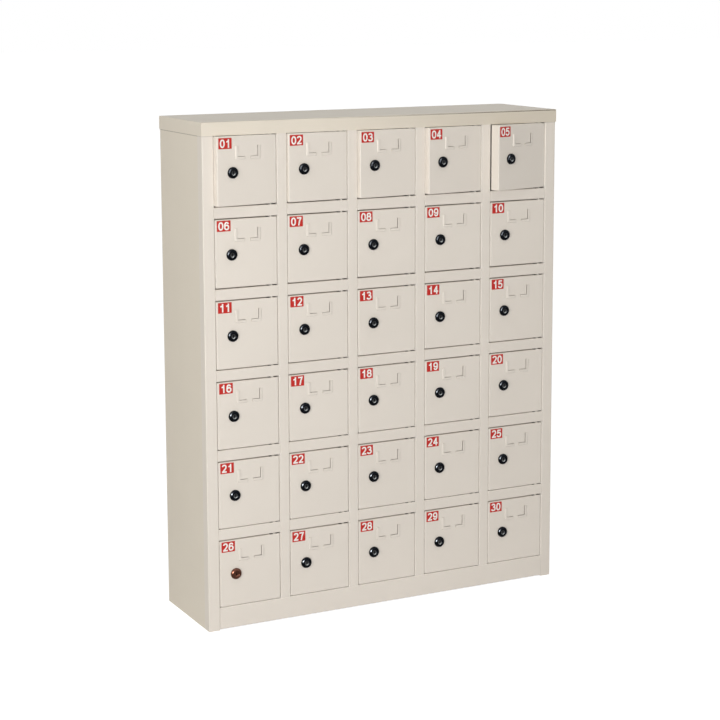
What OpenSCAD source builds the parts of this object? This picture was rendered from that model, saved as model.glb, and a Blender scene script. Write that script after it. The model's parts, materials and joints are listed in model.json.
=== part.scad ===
// Phone storage locker: a folded sheet steel cabinet with thirty small numbered doors.
// Millimetres, +Z up. The origin is the middle of the carcass on the surface that it stands on,
// the doors face -Y and their hinges are on the right.

/* [Door openings] */
// Width of the opening that each door closes
opening_w = 121; // [110:1:160]
// Height of the opening that each door closes
opening_h = 125; // [115:1:160]

/* [Carcass] */
// Width of the posts between two columns of doors
post_w = 19; // [16:0.5:30]
// Height of the rails between two rows of doors
rail_h = 20; // [12:0.5:30]
// Width of the stiles at the left and right edge
stile_w = 21.5; // [16:0.5:35]
// Height of the rail under the lowest doors, measured from the floor
base_h = 42; // [30:1:90]
// Height of the lid's folded edge
header_h = 24; // [18:1:40]
// Depth over the side panels
carcass_d = 200; // [150:5:400]
// Depth of the folded posts, rails and stiles
frame_depth = 20; // [16:0.5:26]
// Gap between the floor and the lower edge of the base rail
base_lift = 2; // [1:0.5:6]
// Thickness of the carcass sheet
sheet = 1; // [0.8:0.1:1.2]
// Inside radius of the folds at the outer corners
fold_r = 1; // [0.5:0.25:1.5]
// Inside radius of the folds round each opening
post_fold_r = 0.5; // [0.25:0.25:0.75]
// Height of the turned up edges of the bottom tray
tray_lip = 12; // [6:1:20]
// Width of the rear fold of each side panel
rear_fold = 16; // [8:1:30]

/* [Wall fixing] */
// Diameter of the four holes in the back panel
wall_hole_d = 8; // [5:0.5:12]

/* [Doors] */
// Gap between a door and each edge of its opening
door_gap = 1.8; // [1.2:0.1:2.2]
// Depth of the folded door
door_depth = 20; // [14:0.5:22]
// Thickness of the door sheet
door_sheet = 1; // [0.8:0.1:1.2]
// Inside radius of the folds round a door's face
door_fold_r = 0.5; // [0.25:0.25:1]
// How far the five doors of the top row stand open, in degrees
ajar_angles = [5.5, 2, 4, 5.5, 11.5]; // [0:0.5:60]

/* [Hinge pins] */
// Diameter of the hinge pins
pin_d = 3; // [2:0.1:4]
// Distance from a door's right edge to its hinge pins
pin_inset = 9.8; // [9:0.1:12]
// Distance from a door's face back to its hinge pins
pin_back = 5; // [4.5:0.1:6]
// Length of pin that shows past the sheet that it turns in
pin_tip = 1.5; // [0.5:0.1:4]
// Diameter of the collar that holds a pin inside its door
collar_d = 6; // [5:0.5:8]
// Thickness of that collar
collar_t = 1.5; // [1:0.1:3]
// Clearance all round a pin, between it and the sheet that it turns in
pin_play = 0.05; // [0.02:0.01:0.1]

/* [Number plates] */
// Width of a number plate
plate_w = 26; // [18:0.5:30]
// Height of a number plate
plate_h = 19; // [14:0.5:24]
// Thickness of a number plate
plate_t = 0.5; // [0.3:0.1:1]
// Distance from a door's left edge to its number plate
plate_inset = 2.5; // [2:0.5:5]
// Distance from a door's top edge to its number plate
plate_drop = 2; // [2:0.5:6]

/* [Card holders] */
// Distance from a door's left edge to its card holder
holder_inset = 35; // [32:1:42]
// Distance from a door's top edge to its card holder
holder_drop = 17; // [8:1:22]
// Width over the two bent lips of a card holder
holder_w = 51; // [40:1:60]
// Height of a card holder
holder_h = 24; // [16:1:26]
// Width of its lips
lip_w = 5.5; // [3:0.5:7]
// Length of the foot of each bent lip
lip_foot = 20; // [10:1:22]
// How far the lips stand out from the door
lip_rise = 1.5; // [1.2:0.1:2]
// Thickness of the lips, which pressing has thinned
lip_t = 0.8; // [0.5:0.1:0.9]
// Width of the bend that joins a lip to the door
lip_bend = 1.5; // [1:0.25:2]

/* [Locks] */
// Distance from a door's left edge to the middle of its lock
lock_inset = 30; // [26:1:36]
// Distance from a door's top edge to the middle of its lock
lock_drop = 63; // [58:1:66]
// Diameter of the lock's head
head_d = 20.5; // [19:0.5:24]
// How far the head stands out from the door
head_t = 5; // [4:0.5:8]
// Height of the straight rim round the head, below its dome
head_rim = 1.2; // [0.6:0.1:2]
// Diameter of the dish in the head, round the plug
dish_d = 12; // [10.5:0.5:14]
// Depth of that dish
dish_t = 1.2; // [0.6:0.1:2]
// Diameter of the lock's threaded barrel
barrel_d = 16; // [14:0.5:17]
// Diameter of the plug that turns with the key
plug_d = 9; // [7:0.5:10]
// Clearance all round the plug in the barrel
plug_play = 0.05; // [0.02:0.01:0.1]
// Clearance all round the barrel in the door
barrel_play = 0.2; // [0.1:0.1:0.5]
// Distance between the flats of the lock's nut
nut_flats = 21; // [19:0.5:24]
// Thickness of the lock's nut
nut_t = 4; // [2:0.5:6]
// Gap between the back of the frame and the cam
cam_gap = 1.5; // [0.8:0.1:4]
// Gap between the end of the barrel and the cam
cam_clear = 0.4; // [0.2:0.1:0.8]
// Thickness of the cam
cam_t = 1.6; // [1:0.1:2.5]
// Width of the cam
cam_w = 13; // [8:0.5:16]
// How far the cam reaches behind the frame when the door is locked
cam_catch = 6; // [3:0.5:7]
// Diameter of the screw that holds the cam
cam_screw_d = 4; // [3:0.5:5]
// Diameter of that screw's head
screw_head_d = 8; // [6:0.5:9]
// Thickness of that screw's head
screw_head_t = 2.4; // [1.5:0.1:4]
// Depth of that screw in the plug
screw_grip = 7; // [4:0.5:10]
// Width of the keyhole
key_w = 1.6; // [1:0.1:2.5]
// Height of the keyhole
key_h = 6.5; // [4:0.5:8]
// Depth of the keyhole
key_depth = 6; // [3:0.5:8]

/* [Hidden] */
$fn = 48;
columns = 5;
rows = 6;
doors = columns * rows;

// The locks of these rows have a plug and cam that turn as pieces of their own
first_lock_row = 1;
last_lock_row = 4;
first_lock = first_lock_row * columns + 1;
last_lock = (last_lock_row + 1) * columns;

// A cut runs past the faces that it cuts by this much
past = 1;
// Pieces of one group that rest on each other are drawn this far apart, so that each stays a solid
seat = 0.02;

column_pitch = opening_w + post_w;
row_pitch = opening_h + rail_h;
carcass_w = 2 * stile_w + columns * opening_w + (columns - 1) * post_w;
carcass_h = base_h + rows * opening_h + (rows - 1) * rail_h + header_h;

door_w = opening_w - 2 * door_gap;
door_h = opening_h - 2 * door_gap;

// The back panel lies against the rear folds, and the inside ends at its face
inner_back = carcass_d - 2 * sheet;
// The side panels, posts and partitions end below the folds of the lid
under_lid = carcass_h - sheet - fold_r;

pin_x = door_w - pin_inset;
pin_reach = door_gap + sheet + pin_tip;
pin_hole_d = pin_d + 2 * pin_play;

lock_x = lock_inset;
lock_z = door_h - lock_drop;
bore_d = plug_d + 2 * plug_play;
cam_front = max(frame_depth, door_depth) + cam_gap;
cam_reach = lock_inset + door_gap + cam_catch;
barrel_end = cam_front - cam_clear;

cream = [0.86, 0.83, 0.77];
cream_inside = [0.82, 0.79, 0.73];
plate_red = [0.78, 0.22, 0.2];
lock_dark = [0.13, 0.14, 0.16];
lock_bronze = [0.36, 0.22, 0.16];
zinc = [0.72, 0.73, 0.74];
bronze_door = 26;

function two_digits(i) = str(i < 10 ? "0" : "", i);
function door_name(i) = str("door_", two_digits(i));
function lock_name(i) = str("lock_plug_", two_digits(i));

// Doors are numbered from the top left, row by row
function row_of(i) = floor((i - 1) / columns);
function column_of(i) = (i - 1) % columns;
function opening_x(column) = stile_w + column * column_pitch;
function opening_z(row) = base_h + (rows - 1 - row) * row_pitch;
function post_middle(column) = opening_x(column) - post_w / 2;
function ajar(i) = row_of(i) == 0 ? ajar_angles[column_of(i)] : 0;

// Carcass pieces are drawn from the left front corner on the floor, and moved here
module placed() {
    translate([-carcass_w / 2, -carcass_d / 2, 0]) children();
}

// Turns a shape drawn along +Z so that it runs back, along +Y
module facing_back() {
    rotate([-90, 0, 0]) children();
}

// What a fold takes off a sharp corner at the origin
module fold_cut(r) {
    difference() {
        translate([-past, -past]) square(r + past);
        translate([r, r]) circle(r);
    }
}

// A rectangle whose two corners at y = 0 are folds with these outside radii
module folded_section(w, d, left_r, right_r) {
    difference() {
        square([w, d]);
        fold_cut(left_r);
        translate([w, 0]) mirror([1, 0]) fold_cut(right_r);
    }
}

// A block w wide, d deep and h high, with folds all round its face at y = 0
module folded_block(w, d, h, r) {
    intersection() {
        linear_extrude(h) folded_section(w, d, r, r);
        rotate([90, 0, 90]) linear_extrude(w) rotate(90) mirror([0, 1])
            folded_section(h, d, r, r);
    }
}

// A tray folded from a sheet of thickness t, open at the back, with folds of inside radius r
module folded_tray(w, d, h, r, t) {
    difference() {
        folded_block(w, d, h, r + t);
        translate([t, t, t]) folded_block(w - 2 * t, d - t + past, h - 2 * t, r);
    }
}

// A channel of height h that is open at the back, with these inside radii at its two folds
module channel(w, d, h, left_r, right_r) {
    linear_extrude(h) difference() {
        folded_section(w, d, left_r + sheet, right_r + sheet);
        translate([sheet, sheet]) folded_section(w - 2 * sheet, d - sheet + past, left_r, right_r);
    }
}

// A channel lying along +X, h high and length long
module lying_channel(length, d, h) {
    translate([0, 0, h]) rotate([0, 90, 0]) channel(h, d, length, post_fold_r, post_fold_r);
}

// A bore for the hinge pins of the doors in this column, from z up through h
module pin_bore(column, z, h) {
    translate([opening_x(column) + door_gap + pin_x, pin_back, z - past])
        cylinder(d = pin_hole_d, h = h + 2 * past);
}

// The lid is a tray with its face up and without a rear edge, so it ends over the back panel
module top_cap() {
    w = carcass_w + 2 * sheet;
    d = carcass_d + sheet;
    cut_off = sheet + fold_r + past;
    color(cream) placed() translate([-sheet, -sheet, carcass_h]) rotate([-90, 0, 0])
        intersection() {
            folded_tray(w, header_h, d + cut_off, fold_r, sheet);
            cube([w, header_h, d]);
        }
}

// Half the section of a side panel, with the corner of its rear fold at the origin
module rear_corner(w, d, r) {
    difference() {
        square([w, d]);
        fold_cut(r);
    }
}

// A side panel runs back from the outer side of its stile, and its rear edge is folded in
module side_panel() {
    side_d = carcass_d - frame_depth;
    translate([0, carcass_d, 0]) linear_extrude(under_lid) mirror([0, 1]) difference() {
        rear_corner(rear_fold, side_d, fold_r + sheet);
        translate([sheet, sheet]) rear_corner(rear_fold, side_d, fold_r);
    }
}

module side_panels() {
    color(cream) placed() {
        side_panel();
        translate([carcass_w, 0, 0]) mirror([1, 0, 0]) side_panel();
    }
}

// A stile is a channel whose outer fold is the front corner of the carcass
module stile() {
    channel(stile_w, frame_depth, under_lid, fold_r, post_fold_r);
}

module front_stiles() {
    color(cream) placed() {
        stile();
        translate([carcass_w, 0, 0]) mirror([1, 0, 0]) stile();
    }
}

// The back panel reaches up to the lid and has four holes, behind the corner compartments
module back_panel() {
    hole_x = [opening_x(0) + opening_w / 2, opening_x(columns - 1) + opening_w / 2];
    hole_z = [opening_z(rows - 1) + opening_h / 2, opening_z(0) + opening_h / 2];
    color(cream) placed() difference() {
        translate([sheet + fold_r, inner_back, 0])
            cube([carcass_w - 2 * (sheet + fold_r), sheet, carcass_h - sheet]);
        for (x = hole_x, z = hole_z) translate([x, inner_back - past, z])
            facing_back() cylinder(d = wall_hole_d, h = sheet + 2 * past);
    }
}

// The tray that the locker stands on, with its edges turned up
module bottom_panel() {
    w = carcass_w - 2 * sheet;
    d = inner_back - frame_depth;
    color(cream) placed() translate([sheet, frame_depth, 0]) difference() {
        cube([w, d, tray_lip]);
        translate([sheet, sheet, sheet]) cube([w - 2 * sheet, d - 2 * sheet, tray_lip]);
    }
}

module base_rail() {
    length = carcass_w - 2 * stile_w;
    color(cream) placed() difference() {
        translate([stile_w, 0, base_lift])
            lying_channel(length, frame_depth, base_h - base_lift);
        for (c = [0:columns - 1]) pin_bore(c, base_h - sheet, sheet);
    }
}

module front_posts() {
    color(cream) placed() for (c = [1:columns - 1])
        translate([post_middle(c) - post_w / 2, 0, base_h])
            channel(post_w, frame_depth, under_lid - base_h, post_fold_r, post_fold_r);
}

// A rail that butts between two posts, open at the back
module cross_rail(column, z, h) {
    difference() {
        translate([opening_x(column), 0, z]) lying_channel(opening_w, frame_depth, h);
        pin_bore(column, z, h);
    }
}

// Five rails in each gap between two rows, and five behind the lid's front edge
module cross_rails() {
    color(cream) placed() for (c = [0:columns - 1]) {
        for (r = [1:rows - 1]) cross_rail(c, opening_z(r) + opening_h, rail_h);
        cross_rail(c, opening_z(0) + opening_h, under_lid - opening_z(0) - opening_h);
    }
}

// The walls between the columns run forward into the posts and stand on the lowest floor
module partitions() {
    color(cream_inside) placed() for (c = [1:columns - 1])
        translate([post_middle(c) - sheet / 2, 0, 0]) rotate([90, 0, 90])
            linear_extrude(sheet) polygon([
                [sheet, base_h], [frame_depth, base_h], [frame_depth, base_h - sheet],
                [inner_back, base_h - sheet], [inner_back, under_lid], [sheet, under_lid]
            ]);
}

// A floor sheet whose tongue lies under the top return of the rail in front
module shelf_sheet(left, right, tongue_left, tongue_right, z) {
    tongue_y = sheet + post_fold_r;
    translate([0, 0, z - 2 * sheet]) linear_extrude(sheet) polygon([
        [tongue_left, tongue_y], [tongue_right, tongue_y], [tongue_right, frame_depth],
        [right, frame_depth], [right, inner_back], [left, inner_back],
        [left, frame_depth], [tongue_left, frame_depth]
    ]);
}

function shelf_left(c) = c == 0 ? sheet : post_middle(c) + sheet / 2;
function shelf_right(c) = c == columns - 1 ? carcass_w - sheet : post_middle(c + 1) - sheet / 2;

module shelves() {
    color(cream_inside) placed() {
        for (c = [0:columns - 1], r = [0:rows - 2]) difference() {
            shelf_sheet(shelf_left(c), shelf_right(c),
                opening_x(c), opening_x(c) + opening_w, opening_z(r));
            pin_bore(c, opening_z(r) - 2 * sheet, sheet);
        }
        difference() {
            shelf_sheet(sheet, carcass_w - sheet, stile_w, carcass_w - stile_w, base_h);
            for (c = [0:columns - 1]) pin_bore(c, base_h - 2 * sheet, sheet);
        }
    }
}

// Places a door drawn from its own lower left corner, turned on its pins by the ajar angle
module hung(i) {
    placed() translate([opening_x(column_of(i)) + door_gap, 0, opening_z(row_of(i)) + door_gap])
        translate([pin_x, pin_back, 0]) rotate([0, 0, ajar(i)]) translate([-pin_x, -pin_back, 0])
            children();
}

// An area of the card holder's left half that is this wide, with its upright on the left
module bent_area(w) {
    square([w, holder_h]);
    square([lip_foot, w]);
}

// The same area with its mirror image on the right, drawn on the door's face from y = front
module holder_pair(w, front, depth) {
    translate([holder_inset, front + depth, door_h - holder_drop - holder_h])
        rotate([90, 0, 0]) linear_extrude(depth) {
            bent_area(w);
            translate([holder_w, 0]) mirror([1, 0]) bent_area(w);
        }
}

// The folded door, with its pressed card holder and its holes for lock and pins.
// The two lips are cut free along their inner edges, which leaves a slot behind each.
module door_pan() {
    difference() {
        union() {
            difference() {
                folded_tray(door_w, door_depth, door_h, door_fold_r, door_sheet);
                holder_pair(lip_w, -past, door_sheet + 2 * past);
            }
            holder_pair(lip_bend, -lip_rise, lip_rise + door_sheet);
            holder_pair(lip_w, -lip_rise, lip_t);
        }
        translate([lock_x, -past, lock_z]) facing_back()
            cylinder(d = barrel_d + 2 * barrel_play, h = door_sheet + 2 * past);
        translate([pin_x, pin_back, -past]) cylinder(d = pin_hole_d, h = door_h + 2 * past);
    }
}

// A hinge pin that points up, with its collar against the inside of the door's edge
module hinge_pin() {
    translate([pin_x, pin_back, 0]) {
        translate([0, 0, -collar_t - seat]) cylinder(d = collar_d, h = collar_t);
        translate([0, 0, -collar_t]) cylinder(d = pin_d, h = collar_t + door_sheet + pin_reach);
    }
}

module hinge_pins() {
    translate([0, 0, door_h - door_sheet]) hinge_pin();
    translate([0, 0, door_sheet]) mirror([0, 0, 1]) hinge_pin();
}

module number_plate() {
    translate([plate_inset, -plate_t - seat, door_h - plate_drop - plate_h])
        cube([plate_w, plate_t, plate_h]);
}

// Half the section of the lock's head: its dome from the rim inwards, then its dish
function head_dome() = [
    for (a = [0:15:90])
        [dish_d / 2 + (head_d - dish_d) / 2 * cos(a), -head_rim - (head_t - head_rim) * sin(a)]
];
function head_dish() = [
    for (a = [30:30:90])
        [bore_d / 2 + (dish_d - bore_d) / 2 * cos(a), dish_t * sin(a) - head_t]
];

// The lock's fixed barrel, drawn round the lock's own axis, running back from the door's face
module lock_barrel() {
    facing_back() rotate_extrude() polygon(concat(
        [[bore_d / 2, barrel_end], [barrel_d / 2, barrel_end], [barrel_d / 2, -seat], [head_d / 2, -seat]],
        head_dome(),
        head_dish()
    ));
}

module lock_nut() {
    translate([0, door_sheet + seat, 0]) facing_back() difference() {
        cylinder(d = nut_flats / cos(30), h = nut_t, $fn = 6);
        translate([0, 0, -past]) cylinder(d = barrel_d + 2 * plug_play, h = nut_t + 2 * past);
    }
}

// The plug with its keyhole, drawn round the lock's own axis. Its face is level with the dish
module lock_plug() {
    plug_front = dish_t - head_t;
    difference() {
        translate([0, plug_front, 0]) facing_back()
            cylinder(d = plug_d, h = cam_front - seat - plug_front);
        translate([-key_w / 2, plug_front - past, -key_h / 2])
            cube([key_w, key_depth + past, key_h]);
        translate([0, cam_front - screw_grip - past, 0])
            facing_back() cylinder(d = cam_screw_d + 2 * plug_play, h = screw_grip + 2 * past);
    }
}

// The cam hangs down while the door is unlocked
module lock_cam() {
    translate([0, cam_front, 0]) facing_back() difference() {
        union() {
            cylinder(d = cam_w, h = cam_t);
            translate([-cam_w / 2, 0, 0]) cube([cam_w, cam_reach - cam_w / 2, cam_t]);
            translate([0, cam_reach - cam_w / 2, 0]) cylinder(d = cam_w, h = cam_t);
        }
        translate([0, 0, -past]) cylinder(d = cam_screw_d + 2 * plug_play, h = cam_t + 2 * past);
    }
}

module cam_screw() {
    translate([0, cam_front, 0]) facing_back() {
        translate([0, 0, -screw_grip]) cylinder(d = cam_screw_d, h = screw_grip + cam_t + screw_head_t);
        translate([0, 0, cam_t + seat]) cylinder(d = screw_head_d, h = screw_head_t);
    }
}

module turning_parts(i) {
    color(i == bronze_door ? lock_bronze : lock_dark) lock_plug();
    color(zinc) lock_cam();
    color(zinc) cam_screw();
}

// A door with everything that swings with it
module door(i) {
    hung(i) {
        color(cream) door_pan();
        color(zinc) hinge_pins();
        color(plate_red) number_plate();
        translate([lock_x, 0, lock_z]) {
            color(i == bronze_door ? lock_bronze : lock_dark) lock_barrel();
            color(zinc) lock_nut();
            if (i < first_lock || i > last_lock) turning_parts(i);
        }
    }
}

module lock_turning(i) {
    hung(i) translate([lock_x, 0, lock_z]) turning_parts(i);
}

top_cap();
side_panels();
front_stiles();
back_panel();
bottom_panel();
base_rail();
front_posts();
cross_rails();
partitions();
shelves();
for (i = [1:doors]) door(i);
for (i = [first_lock:last_lock]) lock_turning(i);
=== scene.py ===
"""Dresses the phone storage locker: its sheet steel carcass, doors, number plates, cam locks and pins."""

import json
import math

import bmesh
import bpy
from mathutils import Euler, Matrix, Vector

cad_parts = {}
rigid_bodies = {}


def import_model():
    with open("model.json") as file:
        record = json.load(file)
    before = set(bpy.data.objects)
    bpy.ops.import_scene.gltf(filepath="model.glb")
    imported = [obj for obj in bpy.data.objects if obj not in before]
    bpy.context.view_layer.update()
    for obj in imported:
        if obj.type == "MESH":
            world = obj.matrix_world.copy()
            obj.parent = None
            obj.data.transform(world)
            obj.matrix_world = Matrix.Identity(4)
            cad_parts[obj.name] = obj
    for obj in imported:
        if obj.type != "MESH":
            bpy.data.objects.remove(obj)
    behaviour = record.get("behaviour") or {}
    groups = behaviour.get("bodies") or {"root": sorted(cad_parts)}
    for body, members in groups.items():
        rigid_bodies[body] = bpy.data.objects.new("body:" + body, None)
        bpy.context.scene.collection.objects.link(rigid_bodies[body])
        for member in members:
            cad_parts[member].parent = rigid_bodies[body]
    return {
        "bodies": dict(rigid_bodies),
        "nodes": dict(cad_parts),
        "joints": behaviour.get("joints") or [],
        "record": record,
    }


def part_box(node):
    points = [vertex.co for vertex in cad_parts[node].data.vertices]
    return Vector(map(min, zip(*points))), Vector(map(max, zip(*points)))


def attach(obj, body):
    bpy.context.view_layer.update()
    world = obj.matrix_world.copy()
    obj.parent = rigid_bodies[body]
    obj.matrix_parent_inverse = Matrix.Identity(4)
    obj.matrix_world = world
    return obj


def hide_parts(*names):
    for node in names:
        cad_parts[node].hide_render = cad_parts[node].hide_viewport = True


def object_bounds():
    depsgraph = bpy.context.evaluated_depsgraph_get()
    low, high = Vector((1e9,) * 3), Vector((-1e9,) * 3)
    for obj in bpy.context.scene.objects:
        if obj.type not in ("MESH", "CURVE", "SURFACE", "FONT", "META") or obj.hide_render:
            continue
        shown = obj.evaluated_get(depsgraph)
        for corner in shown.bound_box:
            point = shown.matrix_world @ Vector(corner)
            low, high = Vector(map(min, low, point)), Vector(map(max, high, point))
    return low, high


bl_info = {
    "name": "Phone storage locker",
    "version": (1, 0, 0),
    "blender": (4, 5, 0),
    "location": "View3D > Sidebar > Locker",
    "description": "Builds the doors, plates, locks and finishes of a numbered phone locker",
    "category": "Add Mesh",
}

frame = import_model()
cad_low, cad_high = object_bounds()
JOINTS = {joint["name"]: joint for joint in frame["joints"]}
DOORS = sorted(body for body in frame["bodies"] if body.startswith("door_"))
TURNING_LOCKS = sorted(body for body in frame["bodies"] if body.startswith("lock_"))
CARCASS = "carcass"
CARCASS_NODES = sorted(frame["record"]["behaviour"]["bodies"][CARCASS])
CARCASS_COATS = {
    "top_cap": "lid_coat", "side_panels": "side_coat", "front_stiles": "stile_coat",
    "base_rail": "base_coat", "cross_rails": "rail_coat", "partitions": "inside_coat",
    "shelves": "inside_coat",
}
PATTERN_DOOR = TURNING_LOCKS[0].replace("lock_", "door_")
MM = 0.001
BRONZE_DOOR = "door_26"
ROWS = 6
# Points closer than this are one
TINY = 1e-7
# A face is level where its normal points up or down by more than this
LEVEL = 0.6
FLOOR_REACH = 30.0
# Place, size and tint of each light
LIGHTS = {
    "key": ((-1.85, -2.95, 0.68), 1.2, (1, 1, 1)),
    "side": ((-3.2, -2.2, 1.15), 1.0, (1.0, 0.97, 0.86)),
    "top": ((-0.3, -1.3, 2.6), 1.2, (1.0, 0.95, 0.85)),
}


def number(name, default, description, **limits):
    """A number that a user may change."""
    return bpy.props.FloatProperty(name=name, description=description, default=default, **limits)


def length(name, default, description):
    """A length in metres."""
    return number(name, default, description, min=0.0, unit="LENGTH", subtype="DISTANCE")


def share(name, default, description):
    """A plain number from 0 to 1."""
    return number(name, default, description, min=0.0, max=1.0)


def tilt(name, degrees, description):
    """An angle, given here in degrees."""
    return number(name, math.radians(degrees), description, unit="ROTATION")


def colour(name, default, description):
    """A colour in linear red, green and blue."""
    return bpy.props.FloatVectorProperty(
        name=name, description=description, default=default, min=0.0, max=1.0, size=3, subtype="COLOR"
    )


class LockerDoor(bpy.types.PropertyGroup):
    """Sizes of the folded doors and their pressed card holders."""

    depth: length("Depth", 0.020, "Depth of the folded door")
    sheet: length("Sheet", 0.001, "Thickness of the door sheet")
    fold: length("Fold radius", 0.0018, "Radius of the folds round the face, over the coat")
    coat_build: length("Coat build up", 0.0004, "How far the coat stands past the sheet at left and right")
    head_build: length("Head build up", 0.0009, "How much higher the top row's upper edge stands")
    foot_build: length("Foot build up", 0.0008, "How much lower the lowest row's lower edge stands")
    pin_back: length("Pin set back", 0.005, "From the face back to the hinge pins")
    pin_reach: length("Pin reach", 0.0043, "How far a hinge pin stands out of the door")
    pin_radius: length("Pin radius", 0.0015, "Radius of the hinge pins")
    collar_radius: length("Collar radius", 0.003, "Radius of the collar inside the door")
    collar_height: length("Collar height", 0.0015, "Thickness of the collar inside the door")
    holder_left: length("Card holder from the left", 0.035, "From the left edge to the card holder")
    holder_drop: length("Card holder drop", 0.017, "From the top edge to the card holder")
    holder_width: length("Card holder width", 0.051, "Width over the two pressed lips")
    holder_height: length("Card holder height", 0.024, "Height of the pressed lips")
    lip_width: length("Lip width", 0.0055, "Width of a pressed lip")
    lip_foot: length("Lip foot", 0.020, "Length of the foot of a pressed lip")
    lip_rise: length("Lip rise", 0.0015, "How far a lip stands out from the door")
    lip_thickness: length("Lip thickness", 0.0008, "Thickness of the lips, which pressing has thinned")
    lip_bend: length("Lip bend", 0.0019, "Width of the bend that joins a lip to the door")
    lip_corner: length("Lip corner", 0.003, "Radius of a lip's outer corner")


class LockerPlate(bpy.types.PropertyGroup):
    """Sizes of the number plates."""

    left: length("From the left", 0.0025, "Distance from a door's left edge")
    drop: length("Drop", 0.002, "Distance from a door's top edge")
    width: length("Width", 0.026, "Width of a number plate")
    height: length("Height", 0.019, "Height of a number plate")
    thickness: length("Thickness", 0.0005, "Thickness of a number plate")
    corner: length("Corner", 0.0008, "Radius of a plate's corners")
    digit_width: length("Digit width", 0.0098, "Width of one digit")
    digit_height: length("Digit height", 0.0150, "Height of the digits")
    digit_space: length("Digit space", 0.0012, "Space between the two digits")
    stroke: length("Stroke", 0.0027, "Width of a digit's strokes")
    digits_rise: length("Digits rise", 0.00006, "Thickness of the printed digits")


class LockerLock(bpy.types.PropertyGroup):
    """Sizes of the cam locks."""

    head_radius: length("Head radius", 0.01025, "Radius of the lock's head")
    head_height: length("Head height", 0.005, "How far the head stands out")
    rim_height: length("Rim height", 0.0012, "Height of the straight rim of the head")
    dish_radius: length("Dish radius", 0.006, "Radius of the dish round the plug")
    dish_depth: length("Dish depth", 0.0012, "Depth of the dish round the plug")
    barrel_radius: length("Barrel radius", 0.008, "Radius of the threaded barrel")
    barrel_length: length("Barrel length", 0.0211, "Length of the barrel behind the door's face")
    thread_pitch: length("Thread pitch", 0.001, "Pitch of the thread on the barrel")
    plug_radius: length("Plug radius", 0.0045, "Radius of the plug that the key turns")
    plug_play: length("Plug play", 0.00005, "Clearance round the plug")
    nut_flats: length("Nut flats", 0.021, "Width over the flats of the nut")
    nut_height: length("Nut height", 0.004, "Thickness of the nut")
    cam_front: length("Cam set back", 0.0215, "From the door's face to the cam")
    cam_thickness: length("Cam thickness", 0.0016, "Thickness of the cam")
    cam_width: length("Cam width", 0.013, "Width of the cam")
    cam_reach: length("Cam reach", 0.0378, "Length of the cam from the lock's axis")
    key_width: length("Keyhole width", 0.0016, "Width of the keyhole")
    key_height: length("Keyhole height", 0.0065, "Height of the keyhole")
    key_depth: length("Keyhole depth", 0.006, "Depth of the keyhole")
    screw_radius: length("Screw radius", 0.002, "Radius of the cam screw")
    screw_head: length("Screw head radius", 0.004, "Radius of the cam screw's head")
    screw_height: length("Screw head height", 0.0024, "Height of the cam screw's head")


class LockerFinish(bpy.types.PropertyGroup):
    """Colours and surface detail."""

    cream: colour("Cream coat", (0.80, 0.745, 0.69), "Powder coat outside")
    # Painted light: the lighter colour laid on the walls of the gaps, on level tops and at the hinge pins
    painted_light: colour("Flank coat", (0.97, 0.93, 0.88), "Thicker coat on the upright flanks of the folds")
    # A darker copy of the cream coat, painted shade for the insides of the compartments
    inside: colour("Inside coat", (0.74, 0.69, 0.63), "Powder coat inside, where less is sprayed")
    red: colour("Plate red", (0.56, 0.03, 0.025), "Ground of the number plates")
    white: colour("Digit white", (0.93, 0.92, 0.90), "Digits of the number plates")
    nickel: colour("Dark nickel", (0.006, 0.008, 0.012), "Head of a lock")
    bronze: colour("Bronze", (0.15, 0.06, 0.04), "Head of the one brown lock")
    plug: colour("Plug metal", (0.55, 0.58, 0.63), "Metal of a lock's plug, which its plating darkens")
    zinc: colour("Zinc plate", (0.62, 0.63, 0.64), "Cams, nuts and screws")
    peel_size: length("Peel size", 0.0016, "Size of the orange peel in the coat")
    peel_depth: share("Peel depth", 0.12, "Strength of the orange peel in the coat")
    coat_roughness: share("Coat roughness", 0.42, "Roughness of the powder coat")
    pin: colour("Pin steel", (0.93, 0.90, 0.84), "Bright steel of the hinge pins")
    # Strength of the painted shade beside the hinge pins and of the painted light at them
    pin_shade: share("Pin shade", 0.9, "Dust on the folds beside the hinge pins")


class LockerStage(bpy.types.PropertyGroup):
    """Camera and light."""

    camera_place: bpy.props.FloatVectorProperty(
        name="Camera", description="Place of the camera", default=(-1.5808, -3.0825, 1.1443), size=3,
        unit="LENGTH", subtype="TRANSLATION"
    )
    camera_yaw: tilt("Yaw", 27.080, "Turn of the camera to the right")
    camera_pitch: tilt("Pitch", -8.733, "Tilt of the camera upwards")
    camera_roll: tilt("Roll", -0.174, "Roll of the camera")
    lens: number("Lens", 93.095, "Focal length in millimetres")
    shift: number("Shift", -0.11944, "Vertical shift of the lens")
    key_power: number("Key light", 45.0, "Power of the key light", unit="POWER")
    side_power: number("Side light", 32.5, "Power of the light from the left", unit="POWER")
    top_power: number("Top light", 5.0, "Power of the light from above", unit="POWER")
    sky: number("Sky light", 0.34, "Strength of the light from all round")


# Shared geometry: a door's own frame has its origin at the lower left corner of the closed face,
# +X to the right, +Y back into the locker and +Z up


def door_settings():
    return bpy.context.scene.locker_door


def lock_settings():
    return bpy.context.scene.locker_lock


def finish_settings():
    return bpy.context.scene.locker_finish


def door_size():
    """Width and height of a door's face, from the frame."""
    low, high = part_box(PATTERN_DOOR)
    return high.x - low.x, high.z - low.z - 2 * door_settings().pin_reach


def axis(joint):
    """A point on a joint's axis."""
    return Vector(JOINTS[joint]["pos_m"])


def door_corner(door):
    """Lower left corner of a door's face when it is closed."""
    low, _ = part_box(PATTERN_DOOR)
    pattern = axis(PATTERN_DOOR + "_hinge")
    corner = Vector((low.x, pattern.y - door_settings().pin_back, low.z + door_settings().pin_reach))
    return corner + axis(door + "_hinge") - pattern


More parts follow.
